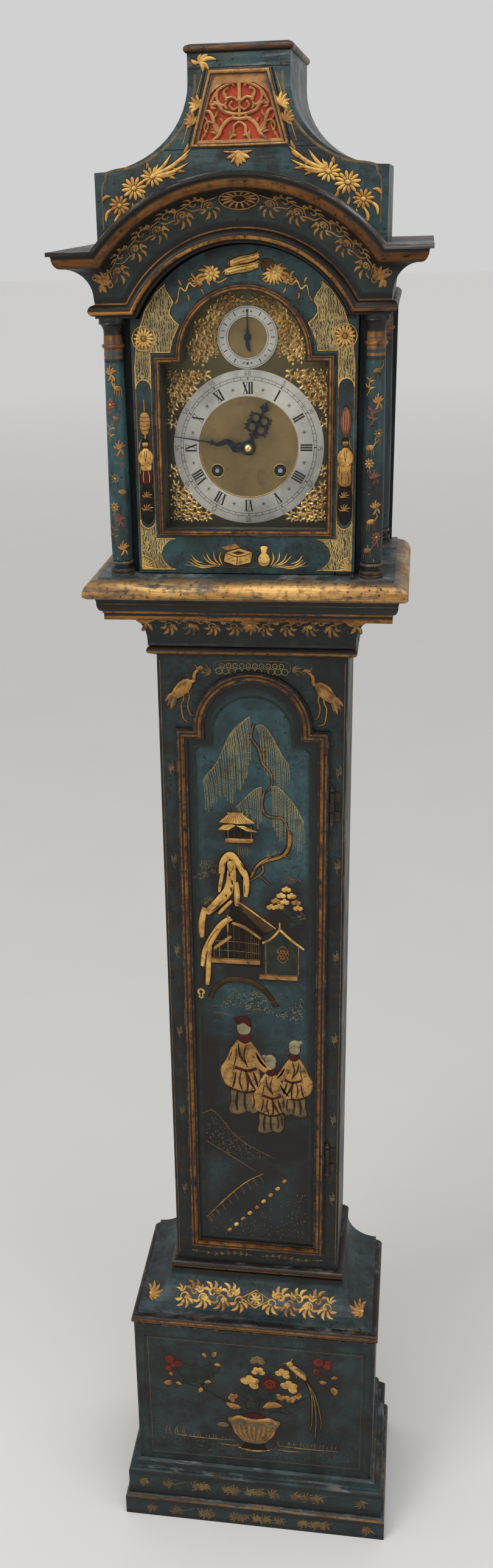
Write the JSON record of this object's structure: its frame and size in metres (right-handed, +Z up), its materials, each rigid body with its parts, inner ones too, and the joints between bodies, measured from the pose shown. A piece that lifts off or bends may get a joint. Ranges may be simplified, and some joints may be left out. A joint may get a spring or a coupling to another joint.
{
  "type": "grandmother clock",
  "caption": "Slim lacquered pendulum clock with an arched hood on columns, a hollow-sided cap, a brass dial and a round-topped trunk door",
  "frame": {"origin": "on the floor, at the centre of the footprint box; the cornice tip and the flat back are equally far from it", "axes": "+Z up, front faces -Y, +X is the viewer's right when facing the dial"},
  "size_m": [0.347, 0.2266, 1.7478],
  "materials": {
    "teal_lacquer": "worn gloss",
    "dark_lacquer": "worn gloss",
    "worn_gilding": "worn gilding on wood",
    "bare_wood": "matte",
    "red_cloth": "woven",
    "glass": "clear",
    "brass": "aged",
    "silvered_ring": "silvered, brushed",
    "steel": "satin",
    "dark_brass": "darkened",
    "blued_steel": "blued"
  },
  "bodies": {
    "case": {"backboard": "bare_wood", "trunk_sides": "teal_lacquer", "trunk_front": "teal_lacquer", "throat_moulding": "dark_lacquer", "gilt_beads": "worn_gilding", "base_moulding": "teal_lacquer", "plinth_boards": "teal_lacquer", "skirt_upper": "teal_lacquer", "skirt_lower": "teal_lacquer", "seat_board": "bare_wood", "hood_rails": "bare_wood", "trunk_hinge_leaves": "dark_brass", "dial_plate": "brass", "chapter_rings": "silvered_ring", "spandrels": "brass", "movement_plates": "brass", "pillars_and_feet": "brass", "back_cock": "brass", "rod_gong": "steel"},
    "trunk_door": {"trunk_door_panel": "teal_lacquer", "trunk_door_moulding": "worn_gilding", "trunk_door_hinges": "dark_brass", "lock_case": "steel", "escutcheon": "brass"},
    "bolt": {"lock_bolt": "steel"},
    "hood": {"hood_base": "worn_gilding", "hood_base_cyma": "dark_lacquer", "hood_sides": "teal_lacquer", "hood_mask": "teal_lacquer", "hood_columns": "teal_lacquer", "architrave": "worn_gilding", "frieze": "teal_lacquer", "cornice": "dark_lacquer", "hood_top_board": "bare_wood", "cap_front": "teal_lacquer", "cap_shell": "teal_lacquer", "cap_moulding": "worn_gilding", "sound_fret": "worn_gilding", "fret_lining": "red_cloth"},
    "hood_door": {"hood_door_frame": "teal_lacquer", "hood_door_moulding": "worn_gilding", "hood_glass": "glass", "hood_door_pivots": "brass"},
    "minute_work": {"centre_arbor": "brass", "minute_hand": "blued_steel", "hand_collet": "brass"},
    "hour_work": {"hour_wheel": "brass", "hour_hand": "blued_steel"},
    "motion_work": {"motion_wheel": "brass"},
    "going_drive": {"going_barrel": "brass"},
    "intermediate": {"intermediate_wheel": "brass"},
    "third": {"third_wheel": "brass"},
    "escape": {"escape_wheel": "brass"},
    "strike_drive": {"strike_barrel": "brass"},
    "strike_train": {"pin_wheel": "brass"},
    "strike_hammer": {"hammer": "steel"},
    "pendulum": {"pallets": "steel", "pendulum_rod": "steel", "pendulum_bob": "brass"},
    "strike_selector": {"strike_silent_hand": "blued_steel"}
  },
  "joints": [
    {"name": "trunk_door_hinge", "type": "hinge", "parent": "case", "child": "trunk_door", "pos_m": [0.0867, -0.0199, 0.75], "axis": [0, 0, 1], "range_deg": [0, 100]},
    {"name": "bolt_slide", "type": "slide", "parent": "trunk_door", "child": "bolt", "axis": [-1, 0, 0], "range_m": [0, 0.01]},
    {"name": "hood_slide", "type": "slide", "parent": "case", "child": "hood", "axis": [0, -1, 0], "range_m": [0, 0.2]},
    {"name": "hood_door_hinge", "type": "hinge", "parent": "hood", "child": "hood_door", "pos_m": [0.1065, -0.0736, 1.4], "axis": [0, 0, 1], "range_deg": [0, 90]},
    {"name": "minute_turn", "type": "hinge", "parent": "case", "child": "minute_work", "pos_m": [0, 0, 1.3958], "axis": [0, 1, 0], "continuous": true},
    {"name": "hour_turn", "type": "hinge", "parent": "case", "child": "hour_work", "pos_m": [0, 0, 1.3958], "axis": [0, 1, 0], "continuous": true},
    {"name": "motion_turn", "type": "hinge", "parent": "case", "child": "motion_work", "pos_m": [0.01638, 0, 1.38433], "axis": [0, 1, 0], "continuous": true},
    {"name": "going_barrel_turn", "type": "hinge", "parent": "case", "child": "going_drive", "pos_m": [0.0314, 0, 1.3733], "axis": [0, 1, 0], "continuous": true},
    {"name": "intermediate_turn", "type": "hinge", "parent": "case", "child": "intermediate", "pos_m": [0.0165, 0, 1.39617], "axis": [0, 1, 0], "continuous": true},
    {"name": "third_turn", "type": "hinge", "parent": "case", "child": "third", "pos_m": [-0.005, 0, 1.411], "axis": [0, 1, 0], "continuous": true},
    {"name": "escape_turn", "type": "hinge", "parent": "case", "child": "escape", "pos_m": [0, 0, 1.4245], "axis": [0, 1, 0], "continuous": true},
    {"name": "strike_barrel_turn", "type": "hinge", "parent": "case", "child": "strike_drive", "pos_m": [-0.0314, 0, 1.3733], "axis": [0, 1, 0], "continuous": true},
    {"name": "pin_wheel_turn", "type": "hinge", "parent": "case", "child": "strike_train", "pos_m": [-0.0165, 0, 1.39617], "axis": [0, 1, 0], "continuous": true},
    {"name": "hammer_lift", "type": "hinge", "parent": "case", "child": "strike_hammer", "pos_m": [-0.05, 0, 1.4298], "axis": [0, 1, 0], "range_deg": [0, 8], "stiffness_Nm_per_rad": 0.05},
    {"name": "pendulum_swing", "type": "hinge", "parent": "case", "child": "pendulum", "pos_m": [0, 0, 1.4418], "axis": [0, 1, 0], "range_deg": [-3, 3]},
    {"name": "strike_silent_turn", "type": "hinge", "parent": "case", "child": "strike_selector", "pos_m": [0, 0, 1.4999], "axis": [0, 1, 0], "range_deg": [0, 180]}
  ],
  "couplings": [
    {"joint": "hour_turn", "follows": "minute_turn", "ratio": 0.083333},
    {"joint": "motion_turn", "follows": "minute_turn", "ratio": -0.33333},
    {"joint": "intermediate_turn", "follows": "minute_turn", "ratio": -0.22222},
    {"joint": "going_barrel_turn", "follows": "minute_turn", "ratio": 0.037037},
    {"joint": "third_turn", "follows": "minute_turn", "ratio": -9},
    {"joint": "escape_turn", "follows": "minute_turn", "ratio": 72},
    {"joint": "pin_wheel_turn", "follows": "strike_barrel_turn", "ratio": -6}
  ]
}
